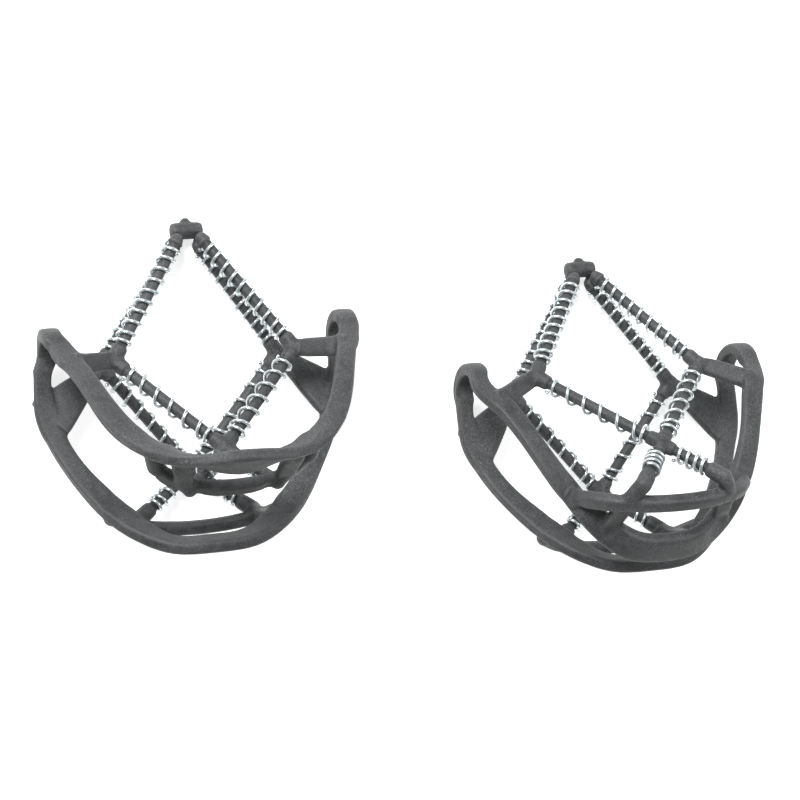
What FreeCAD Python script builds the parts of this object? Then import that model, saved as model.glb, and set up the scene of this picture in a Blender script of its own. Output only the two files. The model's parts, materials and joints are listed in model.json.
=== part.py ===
# A pair of stretch-over-shoe ice crampons. Each unit is an elastomer harness, folded in two at its
# middle hub: a rim band, two diamonds of round ribs with a steel coil on every rib, and an end
# piece with three windows at the toe and at the heel. Millimetres, +Z up.
import FreeCAD, Part
import math
import os
from FreeCAD import Vector as V

# ---- driving dimensions -------------------------------------------------------------------------
RIB_R = 2.0            # round ribs under the coils
NECK_R = 3.45          # root of a tapered collar at a hub
COLLAR_R = 2.85        # moulded collars that the coils butt against
COLLAR_LEN = 5.8       # from a hub's centre to the collar's face
LEG_COLLAR_LEN = 6.6   # the same on the short legs
HUB_R = 3.75           # side and crossing hubs
ROOT_LEN = 2.0         # from a rib root to its collar's face
ROOT_R = 2.25          # rib roots at the mid hub
TAB_R = 3.2            # tabs where the legs join the end piece
WIRE = 1.06            # side of the wire, the same section as a round wire of 1.2
COIL_R = 2.80          # mean radius of a coil
COIL_STEPS = 10        # straight wire pieces in a turn
COIL_PLAY = 0.15       # between a coil's end turn and its collar
END_PITCH = 2.0        # pitch of the closer turn at each end of a coil
TURNS = {"upper": 10, "lower": 7, "leg": 4}

BAND_W = 8.2           # rim band, broad face
BAND_T = 4.6           # rim band, thickness
PAD_W = 13.0           # rim band at the middle of an end piece
CROSS_W = 6.4          # cross band above the windows
BAR_W = 7.0            # side struts at their hub
WEB_W = 17.0           # the toe half's webs where they join the rim
STRUT_W = [6.0, 8.0]   # window struts at the tabs and at the rim
KNEE_R = 3.7           # knees where the cross band joins the rim
CORNER_R = 1.5         # rounding of every band section
RIM_TURN = [0.0, 4.0, 14.0, 40.0, 62.0, 79.0, 90.0]   # of the broad face, from the fold to the middle
PAD_SHARE = [0.0, 0.0, 0.0, 0.15, 0.6, 0.95, 1.0]     # how far it has become the end piece's pad

BAR_R = 3.0            # mid hub, a bar across the fold
BAR_HALF = 5.8
TAB_TOP = (3.2, 1.7, 3.0)   # the tab on the mid hub: width, height over the bar, thickness
HUB_GAP = 0.25         # running clearance of the moving ribs round the mid hub
ROOT_L = 4.2           # rib roots, to each side of the middle
ROOT_ANGLE = 38.0      # rib roots, above and below the fold's middle plane
LOOP_GAP = 0.15        # between a side loop and the rim ends it joins
LOOP_RISE = 7.5        # of the hairpin over the rim ends
LOOP_ARCS = [38, 64, 90, 116, 142]   # degrees round the hairpin where it has a section

TILT = math.degrees(math.atan2(34.0, 77.0))   # the fold's middle plane over the floor
LEAN_SPAN = 78.0       # where a half's sideways lean is measured


# ---- the two halves of a unit -------------------------------------------------------------------
# Points are (a, l, n): a from the mid hub towards the end pieces, l to the side, n from the toe
# half to the heel half. Only the side with l > 0 is listed; the other is its mirror. The rubber is
# slack, so each half leans a little to one side: lean is its sideways shift at LEAN_SPAN.
TOE = {
    "side": (41.5, 31.5, -16.5), "cross_hub": (77.0, 0.0, -34.0), "tab": (93.5, 20.5, -33.0),
    "rim": [(43.5, 51.6, -12.0), (56.0, 51.2, -16.5), (68.0, 47.5, -18.0), (84.0, 39.0, -15.5),
            (103.0, 23.5, -9.0), (109.3, 13.5, -7.4), (110.5, 0.0, -7.0)],
    "cross": [(95.5, 31.5, -18.5), (97.0, 21.0, -28.5), (98.5, 0.0, -31.0)],
    "web": True, "knee_at": 0.5}
HEEL = {
    "side": (43.5, 31.5, 11.0), "cross_hub": (78.0, 0.0, 32.0), "tab": (94.5, 15.0, 42.0),
    "rim": [(43.5, 52.0, 10.0), (53.0, 49.0, 15.5), (66.0, 43.0, 19.0), (84.0, 35.0, 19.5),
            (102.5, 21.0, 16.5), (108.9, 12.0, 15.0), (110.5, 0.0, 14.5)],
    "cross": [(91.5, 31.0, 21.0), (98.0, 20.0, 33.5), (100.5, 0.0, 37.0)],
    "web": False, "knee_at": 0.3}
# The heel end of the left unit is turned outwards over its tabs.
HEEL_TURNED = {
    "side": (46.0, 31.5, 0.5), "cross_hub": (82.5, 0.0, 10.0), "tab": (97.5, 14.7, 15.0),
    "rim": [(42.0, 50.0, 8.0), (51.0, 46.5, 13.5), (63.0, 42.0, 20.0), (79.5, 34.5, 27.0),
            (91.5, 19.5, 33.0), (95.0, 0.0, 35.0)],
    "cross": [(90.0, 25.5, 20.0), (95.0, 17.0, 16.0), (97.5, 0.0, 14.5)],
    "web": False, "knee_at": 0.45}
UNITS = {
    "left": {"at": (-74.4, 65.0), "yaw": 0.0, "toe": dict(TOE, lean=-3.0),
             "heel": dict(HEEL_TURNED, lean=1.0)},
    "right": {"at": (71.8, 42.9), "yaw": 0.0, "toe": dict(TOE, lean=4.5),
              "heel": dict(HEEL, lean=4.0)}}


def place(half, p, side=1):
    """A harness point in the unit's own axes: x to the side, y towards the mid hub, z = n."""
    a, l, n = p
    return V(side * l + half["lean"] * a / LEAN_SPAN, -a, n)


def unit_placement(unit):
    spin = FreeCAD.Rotation(V(0, 0, 1), unit["yaw"]).multiply(FreeCAD.Rotation(V(1, 0, 0), -TILT))
    return FreeCAD.Placement(V(unit["at"][0], unit["at"][1], 0), spin)


# ---- building blocks ----------------------------------------------------------------------------
def rod(p, q, r):
    d = q - p
    return Part.makeCylinder(r, d.Length, p, d)


def ball(p, r):
    return Part.makeSphere(r, p)


def fused(shapes):
    return shapes[0].multiFuse(shapes[1:]).removeSplitter() if len(shapes) > 1 else shapes[0]


def section(centre, across, normal, width, thick):
    """A rounded rectangle, width along across and thick along normal."""
    hw, ht, r = width / 2, thick / 2, min(CORNER_R, thick * 0.42)

    def at(u, v):
        return centre + across * u + normal * v
    k = r * (1 - math.sqrt(0.5))
    edges = []
    for su, sv, first in ((1, 1, 0), (-1, 1, 1), (-1, -1, 0), (1, -1, 1)):
        ends = [at(su * hw, sv * (ht - r)), at(su * (hw - r), sv * ht)]
        if first:
            ends.reverse()
        edges.append(Part.Arc(ends[0], at(su * (hw - k), sv * (ht - k)), ends[1]).toShape())
    loop = []
    for i, arc in enumerate(edges):
        loop.append(arc)
        nxt = edges[(i + 1) % 4]
        loop.append(Part.LineSegment(arc.Vertexes[-1].Point, nxt.Vertexes[0].Point).toShape())
    return Part.Wire(loop)


def band(points, acrosses, widths, thicks, ruled=False):
    """A band lofted through a section at every point; its broad face spans the across vectors."""
    wires = []
    for i, p in enumerate(points):
        tangent = (points[min(i + 1, len(points) - 1)] - points[max(i - 1, 0)]).normalize()
        across = acrosses[i] - tangent * acrosses[i].dot(tangent)
        across.normalize()
        wires.append(section(p, across, tangent.cross(across), widths[i], thicks[i]))
    return Part.makeLoft(wires, True, ruled)


def whole_route(half, points):
    """From the left side over the middle, the list's last point, to the right side."""
    return ([place(half, p, -1) for p in points] + [place(half, p) for p in points[-2::-1]])


def whole_across(vectors):
    """The same for the across vectors of the right side, kept in one sense all the way."""
    return [V(-v.x, v.y, v.z) for v in vectors] + vectors[-2::-1]


def both_sides(values):
    return list(values) + list(values[-2::-1])


# ---- ribs, hubs and legs ------------------------------------------------------------------------
def root_point(sign, side):
    """Where a rib leaves the mid hub."""
    reach = BAR_R + HUB_GAP + ROOT_R
    ang = math.radians(ROOT_ANGLE)
    return V(side * ROOT_L, -reach * math.cos(ang), sign * reach * math.sin(ang))


def rib_runs(half, sign):
    """Every coil-bearing rib of one half: name, kind, start, end, start collar, end collar."""
    runs = []
    cross = place(half, half["cross_hub"])
    for tag, side in (("l", -1), ("r", 1)):
        hub = place(half, half["side"], side)
        tab = place(half, half["tab"], side)
        runs.append(("upper_" + tag, "upper", root_point(sign, side), hub, ROOT_LEN, COLLAR_LEN))
        runs.append(("lower_" + tag, "lower", hub, cross, COLLAR_LEN, COLLAR_LEN))
        runs.append(("leg_" + tag, "leg", cross, tab, COLLAR_LEN - 0.7, LEG_COLLAR_LEN))
    return runs


def rib(p, q, c0, c1, r0, r1):
    """A turned rib from p to q, with a tapered collar at each end for the coil to butt against."""
    axis, length = (q - p).normalize(), (q - p).Length
    side = axis.cross(V(0, 0, 1) if abs(axis.z) < 0.9 else V(1, 0, 0)).normalize()
    profile = [(0, r0), (c0, COLLAR_R), (c0, RIB_R), (length - c1, RIB_R),
               (length - c1, COLLAR_R), (length, r1)]
    outline = [p] + [p + axis * t + side * r for t, r in profile] + [q, p]
    return Part.Face(Part.makePolygon(outline)).revolve(p, axis, 360)


def lattice(half, sign):
    """The diamond of ribs with its hubs, its collars and the two legs with their tab ends."""
    balls, ribs = [ball(place(half, half["cross_hub"]), HUB_R + 0.15)], []
    for _, kind, p, q, c0, c1 in rib_runs(half, sign):
        ribs.append(rib(p, q, c0, c1, ROOT_R if kind == "upper" else NECK_R,
                        TAB_R if kind == "leg" else NECK_R))
        if kind == "upper":
            balls += [ball(p, ROOT_R), ball(q, HUB_R)]
        if kind == "leg":
            balls.append(ball(q, TAB_R))
    body = balls[0]
    for piece in balls[1:] + ribs:
        body = body.fuse(piece)
    return body


# ---- coils --------------------------------------------------------------------------------------
def coil(p, q, turns, hand):
    """A square-wire helix round the rib from p to q, with one closed turn at each end."""
    axis = (q - p).normalize()
    side = axis.cross(V(0, 0, 1) if abs(axis.z) < 0.9 else V(1, 0, 0)).normalize()
    up = axis.cross(side)
    length = (q - p).Length - WIRE
    open_pitch = (length - 2 * END_PITCH) / (turns - 2)
    steps = turns * COIL_STEPS
    verts = []
    for i in range(steps + 1):
        t = i / COIL_STEPS
        along = min(t, 1.0) * END_PITCH + min(max(t - 1.0, 0.0), turns - 2) * open_pitch
        along += max(t - (turns - 1), 0.0) * END_PITCH + WIRE / 2
        ang = hand * 2 * math.pi * t
        out = side * math.cos(ang) + up * math.sin(ang)
        centre = p + axis * along + out * COIL_R
        for u, v in ((1, 1), (-1, 1), (-1, -1), (1, -1)):
            verts.append(centre + out * (u * WIRE / 2) + axis * (v * WIRE / 2))
    faces = [(0, 2, 1), (0, 3, 2)]
    for i in range(steps):
        for k in range(4):
            a, b = 4 * i + k, 4 * i + (k + 1) % 4
            faces += [(a, b, b + 4), (a, b + 4, a + 4)]
    end = 4 * steps
    faces += [(end, end + 1, end + 2), (end, end + 2, end + 3)]
    shell = Part.Shape()
    shell.makeShapeFromMesh((verts, faces), 0.001)
    solid = Part.makeSolid(shell)
    if solid.Volume < 0:
        solid.reverse()
    return solid


def coils(half, sign):
    out = {}
    for name, kind, p, q, c0, c1 in rib_runs(half, sign):
        axis = (q - p).normalize()
        start, stop = p + axis * (c0 + COIL_PLAY), q - axis * (c1 + COIL_PLAY)
        out[name] = coil(start, stop, TURNS[kind], 1)
    return out


# ---- rim, end piece and side struts -------------------------------------------------------------
def end_lean(half):
    """Direction down the end piece, from the cross band's middle to the rim's middle."""
    return (place(half, half["rim"][-1]) - place(half, half["cross"][-1])).normalize()


def rim_band(half):
    """The broad face lies to the side at the fold and joins the end piece's slope in the middle."""
    lean = end_lean(half)
    across = []
    shares = PAD_SHARE[:len(half["rim"]) - 1] + PAD_SHARE[-1:]
    turns = RIM_TURN[:len(half["rim"]) - 1] + RIM_TURN[-1:]
    for turn, share in zip(turns, shares):
        out = V(math.cos(math.radians(turn)), -math.sin(math.radians(turn)), 0)
        across.append((out * (1 - share) + lean * share).normalize())
    widths = [BAND_W + (PAD_W - BAND_W) * share for share in shares]
    return band(whole_route(half, half["rim"]), whole_across(across), both_sides(widths),
                [BAND_T] * (2 * len(turns) - 1))


def cross_band(half):
    route = whole_route(half, half["cross"])
    return band(route, [end_lean(half)] * len(route), [CROSS_W] * len(route),
                [BAND_T] * len(route))


def end_details(half):
    """Two struts from the tabs over the windows to the rim, and the knees beside them."""
    out = []
    for side in (-1, 1):
        tab = place(half, half["tab"], side)
        foot = place(half, half["cross"][1], side)
        head = place(half, half["rim"][4], side)
        out.append(band([foot + (tab - foot) * 0.5, head], [V(1, 0, 0)] * 2, STRUT_W,
                        [BAND_T - 0.6] * 2, True))
        out.append(rod(tab, foot + (head - foot) * 0.12, TAB_R - 0.1))
        knee = place(half, half["cross"][0], side)
        wrist = place(half, half["rim"][3], side)
        root = wrist + (head - wrist) * half["knee_at"]
        out += [rod(knee, root, KNEE_R), ball(knee, KNEE_R)]
    return out


def side_struts(half):
    """A bar, or a web that widens to the rim, from each side hub."""
    out = []
    for side in (-1, 1):
        hub = place(half, half["side"], side)
        rim_a, rim_b = [place(half, half["rim"][i], side) for i in (1, 2)]
        goal = rim_a + (rim_b - rim_a) * (0.3 if half["web"] else 0.0)
        start = hub + (goal - hub) * (HUB_R * 0.55 / (goal - hub).Length)
        out.append(band([start, goal], [V(0, 1, 0)] * 2,
                        [BAR_W, WEB_W if half["web"] else BAND_W], [BAND_T - 0.4] * 2, True))
    return out


def rim(half, own_lattice):
    body = rim_band(half)
    for piece in [cross_band(half)] + end_details(half) + side_struts(half):
        body = body.fuse(piece)
    return largest(body.cut(own_lattice))


def largest(shape):
    return max(shape.Solids, key=lambda s: s.Volume)


def side_loop(toe, heel, side):
    """The hairpin of the rim band at the fold, between the two rim ends."""
    ends, leave = [], []
    for half in (toe, heel):
        end, inner = [place(half, half["rim"][i], side) for i in (0, 1)]
        leave.append((end - inner).normalize())
        ends.append(end + leave[-1] * LOOP_GAP)
    x = (ends[0].x + ends[1].x) / 2
    y_low = (ends[0].y + ends[1].y) / 2
    n_mid, n_half = (ends[0].z + ends[1].z) / 2, (ends[1].z - ends[0].z) / 2
    bend = [V(x, y_low + LOOP_RISE * math.sin(math.radians(arc)),
              n_mid - n_half * math.cos(math.radians(arc))) for arc in LOOP_ARCS]
    route = [ends[0]] + bend + [ends[1]]
    tangents = ([leave[0]]
                + [(route[i + 1] - route[i - 1]).normalize() for i in range(1, len(route) - 1)]
                + [leave[1] * -1])
    wires = []
    for p, t in zip(route, tangents):
        across = (V(1, 0, 0) - t * t.x).normalize()
        wires.append(section(p, across, t.cross(across), BAND_W, BAND_T))
    return Part.makeLoft(wires, True, False)


# ---- mid hub ------------------------------------------------------------------------------------
def mid_hub():
    """A bar across the fold with rounded ends and a small tab on top."""
    bar = Part.makeCylinder(BAR_R, 2 * BAR_HALF, V(-BAR_HALF, 0, 0), V(1, 0, 0))
    rings = [e for e in bar.Edges if e.Closed and abs(abs(e.CenterOfMass.x) - BAR_HALF) < 0.01]
    bar = bar.makeFillet(1.4, rings)
    tab = Part.makeBox(TAB_TOP[0], BAR_R + TAB_TOP[1], TAB_TOP[2],
                       V(-TAB_TOP[0] / 2, 0, -TAB_TOP[2] / 2))
    top = [e for e in tab.Edges
           if all(abs(v.Y - BAR_R - TAB_TOP[1]) < 0.01 for v in e.Vertexes)]
    return fused([bar, tab.makeFillet(0.9, top)])


# ---- assembly -----------------------------------------------------------------------------------
def unit_nodes(name, unit):
    nodes = {"mid_hub": mid_hub()}
    for half_name, half, sign in (("toe", unit["toe"], -1), ("heel", unit["heel"], 1)):
        ribs = lattice(half, sign)
        if sign < 0:
            ribs = largest(ribs.cut(nodes["mid_hub"]))
        nodes[half_name + "_lattice"] = ribs
        nodes[half_name + "_rim"] = rim(half, ribs)
        for tag, solid in coils(half, sign).items():
            nodes["%s_coil_%s" % (half_name, tag)] = solid
    for tag, side in (("l", -1), ("r", 1)):
        nodes["side_loop_" + tag] = side_loop(unit["toe"], unit["heel"], side)
    where = unit_placement(unit)
    out = {}
    for key, shape in nodes.items():
        shape = shape.copy()
        shape.Placement = where.multiply(shape.Placement)
        out["%s_%s" % (name, key)] = shape
    return out


def surface_box(shapes):
    """Box of the surfaces themselves, which is tighter than the box of their poles."""
    box = FreeCAD.BoundBox()
    for shape in shapes:
        for point in shape.tessellate(0.05)[0]:
            box.add(point)
    return box


def main():
    os.makedirs("parts", exist_ok=True)
    nodes = {}
    for name, unit in UNITS.items():
        own = unit_nodes(name, unit)
        # each unit lies on the floor by its lowest rib, collar or coil
        low = surface_box(own.values()).ZMin
        for shape in own.values():
            shape.translate(V(0, 0, -low))
        nodes.update(own)
    box = surface_box(nodes.values())
    for node, shape in nodes.items():
        shape.translate(V(-box.Center.x, -box.Center.y, 0))
        solid = shape.Solids[0]
        print("%-24s solids %d valid %s vol %8.1f z %.2f..%.2f" % (
            node, len(shape.Solids), shape.isValid(), shape.Volume,
            solid.BoundBox.ZMin, solid.BoundBox.ZMax))
        solid.exportStep("parts/%s.step" % node)
    print("centre moved by", -box.Center.x, -box.Center.y, "size", box.XLength, box.YLength,
          box.ZLength)


main()
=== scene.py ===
# Studio scene of the slip-on ice crampons: moulded rubber harnesses and bright steel coils.
import json
import math
import random

import bmesh
import bpy
import numpy as np
from mathutils import Matrix, Vector
from mathutils.bvhtree import BVHTree


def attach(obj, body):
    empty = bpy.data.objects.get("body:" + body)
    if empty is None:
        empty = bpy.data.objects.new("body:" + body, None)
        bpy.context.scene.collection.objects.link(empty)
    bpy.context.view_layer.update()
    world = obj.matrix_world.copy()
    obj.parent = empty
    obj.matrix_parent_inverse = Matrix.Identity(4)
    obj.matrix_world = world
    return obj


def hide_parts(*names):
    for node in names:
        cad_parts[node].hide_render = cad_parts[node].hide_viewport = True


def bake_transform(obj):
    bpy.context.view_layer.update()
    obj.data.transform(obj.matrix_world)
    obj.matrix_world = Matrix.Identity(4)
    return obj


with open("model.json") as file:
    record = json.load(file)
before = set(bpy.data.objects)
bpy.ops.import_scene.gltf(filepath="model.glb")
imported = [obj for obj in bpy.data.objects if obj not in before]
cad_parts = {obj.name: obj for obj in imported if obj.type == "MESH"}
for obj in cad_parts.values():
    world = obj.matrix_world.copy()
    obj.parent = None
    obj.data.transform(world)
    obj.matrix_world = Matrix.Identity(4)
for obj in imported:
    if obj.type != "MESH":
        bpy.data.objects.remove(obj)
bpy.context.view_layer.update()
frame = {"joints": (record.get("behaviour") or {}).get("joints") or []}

# ---- sizes, in metres ---------------------------------------------------------------------------
MM = 0.001
UNITS = ("left", "right")
HALVES = ("toe", "heel")
VOXEL = 0.50 * MM           # grid of the moulded rubber
MELT_STEPS = 6              # smoothing that rounds the moulded joins
HUB_STEPS = 16              # the same on the mid hub
BAND_DEPTH = 5.8 * MM       # bands deeper than this are drawn in to it
WEB_DEPTH = 12.5 * MM       # webs and pads are deeper still and stay
PULL_FADE = 3.0 * MM
PULL_MAX = 1.1 * MM
PULL_BLUR = 45              # rounds of averaging over the mesh
RAY_START = 0.1 * MM        # how deep under the skin a depth is measured from
WIRE_R = 0.60 * MM
COIL_R = 2.92 * MM          # mean radius of a coil, loose on its rib
COIL_LIFT = {"toe": 0.14 * MM, "heel": 0.0}    # keeps the toe coils up on the floor
END_PITCH = 2.7 * MM        # the closer turn at each end
TURNS = {"upper": 10, "lower": 7, "leg": 4}
TURN_STEPS = 30
WIRE_SIDES = 10
LOOSE_ALONG = 0.28 * MM     # how far a turn wanders from its place
LOOSE_ACROSS = 0.12 * MM
END_SLICE = 0.25 * MM       # points this near a coil's end mark where its wire starts
ROOT_GAP = 2.15 * MM        # from an upper coil's end to the centre of its rib's root
NECK_R = 1.6 * MM
NECK_STOP = {"toe": 2.2 * MM, "heel": 3.3 * MM}    # from the fold's axis; the heel turns on it
BEND_TOUCH = 0.3 * MM       # a side loop's points this near a rim are its end there
BEND_INSET = 0.06           # share of a side loop's span by which its two end points are moved in
SEED = 7

CAMERA_AT = Vector((-0.1997, 0.0769, 0.6966))
CAMERA_TO = Vector((-0.0035, -0.0014, 0.020))
CAMERA_UP = Vector((0.0767, 0.9927, -0.0926))
LENS = 90.0                 # on a 36 mm wide sensor
FLOOR_HALF = 12.0
FLOOR_GLOW = 0.66
AIR_LIGHT = 0.38
LAMPS = {"key_lamp": ((-0.50, 0.75, 1.0), 0.55, 21.0),     # place, width and watts
         "fill_lamp": ((0.95, 0.1, 0.9), 0.8, 6.0)}
WHITE = (1.0, 1.0, 1.0, 1.0)


# ---- shader building ----------------------------------------------------------------------------
class Wire:
    """A socket that adds up like a number."""

    def __init__(self, shader, socket):
        self.shader, self.socket = shader, socket

    def _math(self, operation, *values):
        return self.shader.node("ShaderNodeMath", {"operation": operation},
                                dict(enumerate(values)))

    def __add__(self, other): return self._math("ADD", self, other)
    def __sub__(self, other): return self._math("SUBTRACT", self, other)
    def __mul__(self, other): return self._math("MULTIPLY", self, other)
    def __rsub__(self, other): return self._math("SUBTRACT", other, self)
    def or_more(self, other): return self._math("MAXIMUM", self, other)
    __radd__ = __add__
    __rmul__ = __mul__


class Shader:
    """The nodes of one material or world and the few ways of adding to them."""

    def __init__(self, owner):
        owner.use_nodes = True
        self.owner, self.tree = owner, owner.node_tree
        self.tree.nodes.clear()

    def node(self, kind, settings=None, sockets=None, output=0):
        made = self.tree.nodes.new(kind)
        for key, value in (settings or {}).items():
            setattr(made, key, value)
        for key, value in (sockets or {}).items():
            if isinstance(value, Wire):
                self.tree.links.new(value.socket, made.inputs[key])
            else:
                made.inputs[key].default_value = value
        if not made.outputs:
            return made
        return Wire(self, made.outputs[output])

    @property
    def place(self):
        """Where a point lies on its piece, in metres."""
        return self.node("ShaderNodeTexCoord", output="Object")

    def ray(self, kind):
        return self.node("ShaderNodeLightPath", output="Is %s Ray" % kind)

    def noise(self, scale, detail=3.0, roughness=0.5):
        return self.node("ShaderNodeTexNoise", {}, {"Vector": self.place, "Scale": scale,
                                                    "Detail": detail, "Roughness": roughness})

    def steps(self, value, low, high):
        """0 below low, 1 above high."""
        return self.node("ShaderNodeMapRange", {"interpolation_type": "SMOOTHSTEP"},
                         {0: value, 1: low, 2: high, 3: 0.0, 4: 1.0})

    def mix(self, share, first, second):
        return self.node("ShaderNodeMix", {"data_type": "RGBA"},
                         {0: share, 6: first, 7: second}, output=2)

    def bump(self, height, strength, distance):
        return self.node("ShaderNodeBump", {}, {"Height": height, "Strength": strength,
                                                "Distance": distance})

    def finish(self, **sockets):
        named = {key.replace("_", " "): value for key, value in sockets.items()}
        surface = self.node("ShaderNodeBsdfPrincipled", {}, named)
        self.node("ShaderNodeOutputMaterial", {}, {"Surface": surface})
        return self.owner


def moulded_rubber():
    """Charcoal rubber: fine pale dust in a mottled grain, drifts of wear and faint flow lines."""
    s = Shader(bpy.data.materials.new("charcoal_rubber"))
    mottle = s.steps(s.noise(260.0, 4.0, 0.65), 0.36, 0.66)
    worn = s.steps(s.noise(38.0, 3.0), 0.40, 0.66)
    grit = s.noise(1800.0, 3.0, 0.75)
    dust = s.steps(grit, 0.54, 0.70)
    pores = 1 - s.steps(grit, 0.36, 0.47)
    flow = s.node("ShaderNodeTexWave", {"wave_type": "BANDS", "bands_direction": "DIAGONAL"},
                  {"Vector": s.place, "Scale": 95.0, "Distortion": 5.0, "Detail": 2.0,
                   "Detail Scale": 1.5}, output=1)
    body = s.mix(mottle, (0.026, 0.028, 0.029, 1.0), (0.050, 0.053, 0.055, 1.0))
    body = s.mix(worn * 0.5, body, (0.066, 0.070, 0.072, 1.0))
    body = s.mix(dust * (0.30 + 0.45 * worn), body, (0.180, 0.187, 0.190, 1.0))
    body = s.mix(pores * 0.7, body, (0.016, 0.016, 0.017, 1.0))
    edge = s.steps(s.node("ShaderNodeNewGeometry", output="Pointiness"), 0.505, 0.535)
    body = s.mix(edge * 0.30, body, (0.130, 0.137, 0.140, 1.0))
    relief = grit * 0.9 + s.noise(420.0, 2.0) * 0.5 + flow * 0.14
    return s.finish(Base_Color=body, Roughness=0.46 + 0.16 * mottle, Specular_IOR_Level=0.45,
                    Normal=s.bump(relief, 0.5, 0.0003))


def bright_wire():
    """Zinc-bright steel wire, with duller patches and fine pits."""
    s = Shader(bpy.data.materials.new("bright_steel_wire"))
    dull = s.steps(s.noise(280.0, 3.0), 0.42, 0.68)
    pits = s.noise(2600.0, 2.0)
    body = s.mix(dull, (0.80, 0.85, 0.86, 1.0), (0.52, 0.58, 0.60, 1.0))
    return s.finish(Base_Color=body, Metallic=0.88, Roughness=0.20 + 0.18 * dull,
                    Normal=s.bump(pits, 0.15, 0.0001))


def lit_white():
    """Studio floor: white to the eye and in the wire, plain matt to every other ray."""
    s = Shader(bpy.data.materials.new("studio_white"))
    seen = s.ray("Camera").or_more(s.ray("Glossy")).or_more(s.ray("Transmission"))
    matt = s.node("ShaderNodeBsdfDiffuse", {}, {"Color": (0.82, 0.82, 0.82, 1.0)})
    glow = s.node("ShaderNodeEmission", {}, {"Strength": FLOOR_GLOW})
    lifted = s.node("ShaderNodeAddShader", {}, {0: matt, 1: glow})
    both = s.node("ShaderNodeMixShader", {}, {0: seen, 1: matt, 2: lifted})
    s.node("ShaderNodeOutputMaterial", {}, {"Surface": both})
    return s.owner


def studio_air():
    """Soft light from all round, which the camera sees as white."""
    s = Shader(bpy.data.worlds.new("studio_air"))
    soft = s.node("ShaderNodeBackground", {}, {"Color": WHITE, "Strength": AIR_LIGHT})
    white = s.node("ShaderNodeBackground", {}, {"Color": WHITE, "Strength": 1.0})
    both = s.node("ShaderNodeMixShader", {}, {0: s.ray("Camera"), 1: soft, 2: white})
    s.node("ShaderNodeOutputWorld", {}, {"Surface": both})
    return s.owner


# ---- meshes -------------------------------------------------------------------------------------
def add_object(name, mesh, material):
    for polygon in mesh.polygons:
        polygon.use_smooth = True
    mesh.materials.clear()
    mesh.materials.append(material)
    obj = bpy.data.objects.new(name, mesh)
    bpy.context.scene.collection.objects.link(obj)
    return obj


def solid_mesh(node):
    return bpy.data.objects[node].data


def apply_modifiers(obj):
    deps = bpy.context.evaluated_depsgraph_get()
    mesh = bpy.data.meshes.new_from_object(obj.evaluated_get(deps))
    obj.modifiers.clear()
    old, obj.data = obj.data, mesh
    bpy.data.meshes.remove(old)


def add_rod(bm, start, end, radius):
    turn = (end - start).to_track_quat("Z", "Y").to_matrix().to_4x4()
    bmesh.ops.create_cone(bm, cap_ends=True, segments=24, radius1=radius, radius2=radius,
                          depth=(end - start).length,
                          matrix=Matrix.Translation((start + end) / 2) @ turn)


def melted(name, nodes, material, rods=(), steps=MELT_STEPS):
    """The given solids and rods as one rounded moulding."""
    bm = bmesh.new()
    for node in nodes:
        bm.from_mesh(solid_mesh(node))
    for start, end in rods:
        add_rod(bm, start, end, NECK_R)
    mesh = bpy.data.meshes.new(name)
    bm.to_mesh(mesh)
    bm.free()
    obj = add_object(name, mesh, material)
    remesh = obj.modifiers.new("grid", "REMESH")
    remesh.mode, remesh.voxel_size = "VOXEL", VOXEL
    remesh.use_smooth_shade = True
    smooth = obj.modifiers.new("melt", "SMOOTH")
    smooth.factor, smooth.iterations = 0.5, steps
    apply_modifiers(obj)
    return obj


def drawn_in(obj):
    """Rounds the bands: their narrow sides, where the rubber is deepest, are drawn in."""
    mesh = obj.data
    tree = BVHTree.FromPolygons([v.co for v in mesh.vertices], [p.vertices for p in mesh.polygons])
    inward = [-v.vector for v in mesh.vertex_normals]
    depths = np.array([tree.ray_cast(v.co + n * RAY_START, n, WEB_DEPTH)[3] or 0.0
                       for v, n in zip(mesh.vertices, inward)])
    pull = np.clip((depths - BAND_DEPTH) / 2, 0.0, PULL_MAX)
    pull *= np.clip((WEB_DEPTH - depths) / PULL_FADE, 0.0, 1.0)
    ends = np.array([e.vertices[:] for e in mesh.edges])
    shared = np.bincount(ends.ravel(), minlength=len(pull))
    for _ in range(PULL_BLUR):
        total = (np.bincount(ends[:, 0], pull[ends[:, 1]], len(pull))
                 + np.bincount(ends[:, 1], pull[ends[:, 0]], len(pull)))
        pull = (pull + total / np.maximum(shared, 1)) / 2
    places = np.array([v.co for v in mesh.vertices]) + np.array(inward) * pull[:, None]
    mesh.vertices.foreach_set("co", places.ravel())
    mesh.update()


def split_by_nearest(obj, groups, material):
    """Cuts a moulding into the pieces that its own solids mark, without moving a vertex."""
    trees = {}
    for label, nodes in groups.items():
        bm = bmesh.new()
        for node in nodes:
            bm.from_mesh(solid_mesh(node))
        trees[label] = BVHTree.FromBMesh(bm)
        bm.free()
    mesh = obj.data
    normals = [v.vector.copy() for v in mesh.vertex_normals]
    owner = [min(trees, key=lambda label: trees[label].find_nearest(polygon.center)[3])
             for polygon in mesh.polygons]
    pieces = {}
    for label in groups:
        index, points, faces, kept = {}, [], [], []
        for polygon, own in zip(mesh.polygons, owner):
            if own != label:
                continue
            face = []
            for v in polygon.vertices:
                if v not in index:
                    index[v] = len(points)
                    points.append(mesh.vertices[v].co.copy())
                    kept.append(normals[v])
                face.append(index[v])
            faces.append(face)
        part = bpy.data.meshes.new(label)
        part.from_pydata(points, [], faces)
        piece = add_object(label, part, material)
        part.normals_split_custom_set_from_vertices(kept)
        pieces[label] = piece
    bpy.data.objects.remove(obj)
    return pieces


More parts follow.
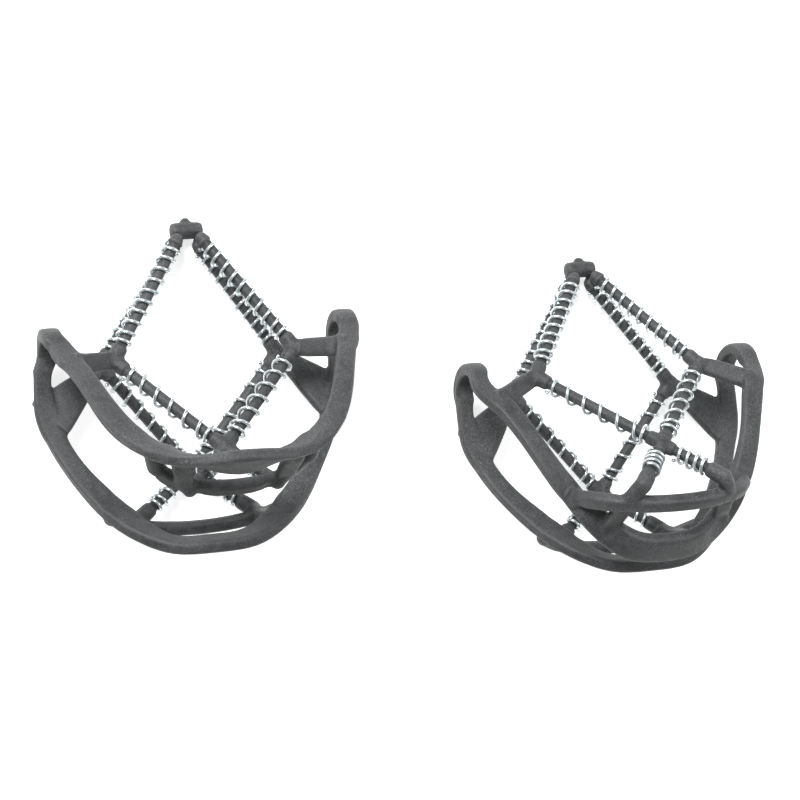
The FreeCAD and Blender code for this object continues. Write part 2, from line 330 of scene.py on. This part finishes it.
def coil_axis(node):
    """Start, unit direction, length and first out direction of a coil, from its solid.

    The direction is the solid's longest one. It leans from the rib by under a degree on the upper
    and lower coils, and by 4 to 16 degrees on the short leg coils.
    """
    points = np.array([v.co for v in solid_mesh(node).vertices])
    middle = points.mean(axis=0)
    axis = np.linalg.eigh(np.cov((points - middle).T))[1][:, -1]
    axis = axis if axis.sum() > 0 else -axis
    along = (points - middle) @ axis
    low, high = along.min(), along.max()
    out = points[along < low + END_SLICE].mean(axis=0) - middle
    out = Vector(out - axis * (out @ axis)).normalized()
    return Vector(middle + axis * low), Vector(axis), float(high - low), out


def coil_path(start, axis, length, out, turns, dice):
    """Centre line of a coil with a closer turn at each end and slightly uneven turns."""
    side = axis.cross(out)
    pitch = (length - 2 * WIRE_R - 2 * END_PITCH) / (turns - 2)
    wander = [(dice.uniform(-1, 1), dice.uniform(-1, 1), dice.uniform(-1, 1))
              for _ in range(turns + 2)]
    path = []
    for i in range(turns * TURN_STEPS + 1):
        t = i / TURN_STEPS
        k, share = int(t), t - int(t)
        loose = [a + (b - a) * share for a, b in zip(wander[k], wander[k + 1])]
        calm = min(1.0, t, turns - t)
        along = WIRE_R + min(t, 1.0) * END_PITCH + min(max(t - 1.0, 0.0), turns - 2) * pitch
        along += max(t - (turns - 1), 0.0) * END_PITCH + loose[2] * LOOSE_ALONG * calm
        angle = 2 * math.pi * t
        path.append(start + axis * along
                    + (out * math.cos(angle) + side * math.sin(angle)) * COIL_R
                    + (out * loose[0] + side * loose[1]) * LOOSE_ACROSS * calm)
    return path


def wire_coil(name, node, kind, lift, material, dice):
    """Round wire along a coil's path, closed at both ends."""
    start, axis, length, out = coil_axis(node)
    start.z += lift
    path = coil_path(start, axis, length, out, TURNS[kind], dice)
    last = len(path) - 1
    bm = bmesh.new()
    rings = []
    for i, p in enumerate(path):
        tangent = (path[min(i + 1, last)] - path[max(i - 1, 0)]).normalized()
        across = axis.cross(tangent).normalized()
        up = tangent.cross(across)
        angles = [2 * math.pi * s / WIRE_SIDES for s in range(WIRE_SIDES)]
        rings.append([bm.verts.new(p + (across * math.cos(a) + up * math.sin(a)) * WIRE_R)
                      for a in angles])
    for first, second in zip(rings, rings[1:]):
        for s in range(WIRE_SIDES):
            e = (s + 1) % WIRE_SIDES
            bm.faces.new((first[s], first[e], second[e], second[s]))
    bm.faces.new(rings[0][::-1])
    bm.faces.new(rings[-1])
    bmesh.ops.recalc_face_normals(bm, faces=bm.faces)
    mesh = bpy.data.meshes.new(name)
    bm.to_mesh(mesh)
    bm.free()
    return add_object(name, mesh, material)


# ---- one harness --------------------------------------------------------------------------------
def root_necks(unit):
    """Short necks that lead the ribs of both halves up to the mid hub."""
    anchor = Vector(next(j["pos_m"] for j in frame["joints"] if j["name"] == unit + "_fold"))
    necks = []
    for half in HALVES:
        for s in "lr":
            start, axis, length, _ = coil_axis("%s_%s_coil_upper_%s" % (unit, half, s))
            ends = [(start, -axis), (start + axis * length, axis)]
            near, inward = min(ends, key=lambda e: (e[0] - anchor).length)
            root = near + inward * ROOT_GAP
            foot = Vector((root.x, anchor.y, anchor.z))
            reach = (foot - root).normalized()
            necks.append((root, foot - reach * NECK_STOP[half]))
    return necks


def loop_ends(unit, node):
    """Points of a side loop nearest the toe rim and the heel rim."""
    points = [v.co for v in solid_mesh(node).vertices]
    ends = []
    for half in HALVES:
        bm = bmesh.new()
        bm.from_mesh(solid_mesh("%s_%s_rim" % (unit, half)))
        tree = BVHTree.FromBMesh(bm)
        bm.free()
        near = [p for p in points if tree.find_nearest(p)[3] < BEND_TOUCH]
        ends.append(sum(near, Vector()) / len(near))
    inset = (ends[1] - ends[0]) * BEND_INSET
    return tuple(ends[0] + inset), tuple(ends[1] - inset)


def mouldings(unit, body, rubber):
    """Both halves and the two side bends, cut from one moulding so that they meet."""
    halves = {unit + "_toe_moulding": [unit + "_toe_lattice", unit + "_toe_rim"],
              unit + "_heel_moulding": [unit + "_heel_lattice", unit + "_heel_rim"]}
    loops = {"%s_side_bend_%s" % (unit, s): ["%s_side_loop_%s" % (unit, s)] for s in "lr"}
    groups = {**halves, **loops}
    whole = melted(unit + "_rubber", [n for nodes in groups.values() for n in nodes], rubber,
                   root_necks(unit))
    drawn_in(whole)
    pieces = split_by_nearest(whole, groups, rubber)
    for half in HALVES:
        piece = pieces["%s_%s_moulding" % (unit, half)]
        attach(piece, body[half])
        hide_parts(*groups[piece.name])
    for name, nodes in loops.items():
        toe_end, heel_end = loop_ends(unit, nodes[0])
        piece = pieces[name]
        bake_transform(piece)
        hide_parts(nodes[0])


def fold_hub(unit, body, rubber):
    hub = melted(unit + "_fold_hub", [unit + "_mid_hub"], rubber, steps=HUB_STEPS)
    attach(hub, body["toe"])
    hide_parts(unit + "_mid_hub")


def wires(unit, body, steel, dice):
    for half in HALVES:
        for kind in TURNS:
            for s in "lr":
                node = "%s_%s_coil_%s_%s" % (unit, half, kind, s)
                coil = wire_coil("%s_%s_%s_wire_%s" % (unit, half, kind, s), node, kind,
                                 COIL_LIFT[half], steel, dice)
                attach(coil, body[half])
                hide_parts(node)


def harness(unit, rubber, steel, dice):
    body = {half: "%s_%s_half" % (unit, half) for half in HALVES}
    mouldings(unit, body, rubber)
    fold_hub(unit, body, rubber)
    wires(unit, body, steel, dice)


# ---- studio -------------------------------------------------------------------------------------
def floor():
    mesh = bpy.data.meshes.new("studio_floor")
    r = FLOOR_HALF
    mesh.from_pydata([(-r, -r, 0), (r, -r, 0), (r, r, 0), (-r, r, 0)], [], [(0, 1, 2, 3)])
    mesh.materials.append(lit_white())
    obj = bpy.data.objects.new("studio_floor", mesh)
    bpy.context.scene.collection.objects.link(obj)


def lamp(name, at, size, power):
    light = bpy.data.lights.new(name, "AREA")
    light.shape, light.size, light.energy = "DISK", size, power
    obj = bpy.data.objects.new(name, light)
    obj.location = at
    obj.rotation_euler = (-Vector(at)).to_track_quat("-Z", "Y").to_euler()
    bpy.context.scene.collection.objects.link(obj)


def studio():
    floor()
    for name, (at, size, power) in LAMPS.items():
        lamp(name, at, size, power)
    bpy.context.scene.world = studio_air()
    bpy.context.scene.view_settings.view_transform = "Standard"


def camera():
    data = bpy.data.cameras.new("studio_camera")
    data.lens, data.sensor_width, data.clip_start = LENS, 36.0, 0.01
    obj = bpy.data.objects.new("studio_camera", data)
    back = (CAMERA_AT - CAMERA_TO).normalized()
    right = CAMERA_UP.cross(back).normalized()
    turn = Matrix((right, back.cross(right), back)).transposed()
    obj.matrix_world = Matrix.Translation(CAMERA_AT) @ turn.to_4x4()
    bpy.context.scene.collection.objects.link(obj)
    bpy.context.scene.camera = obj


def build():
    rubber, steel = moulded_rubber(), bright_wire()
    dice = random.Random(SEED)
    for unit in UNITS:
        harness(unit, rubber, steel, dice)
    studio()
    camera()


build()
bpy.context.view_layer.update()
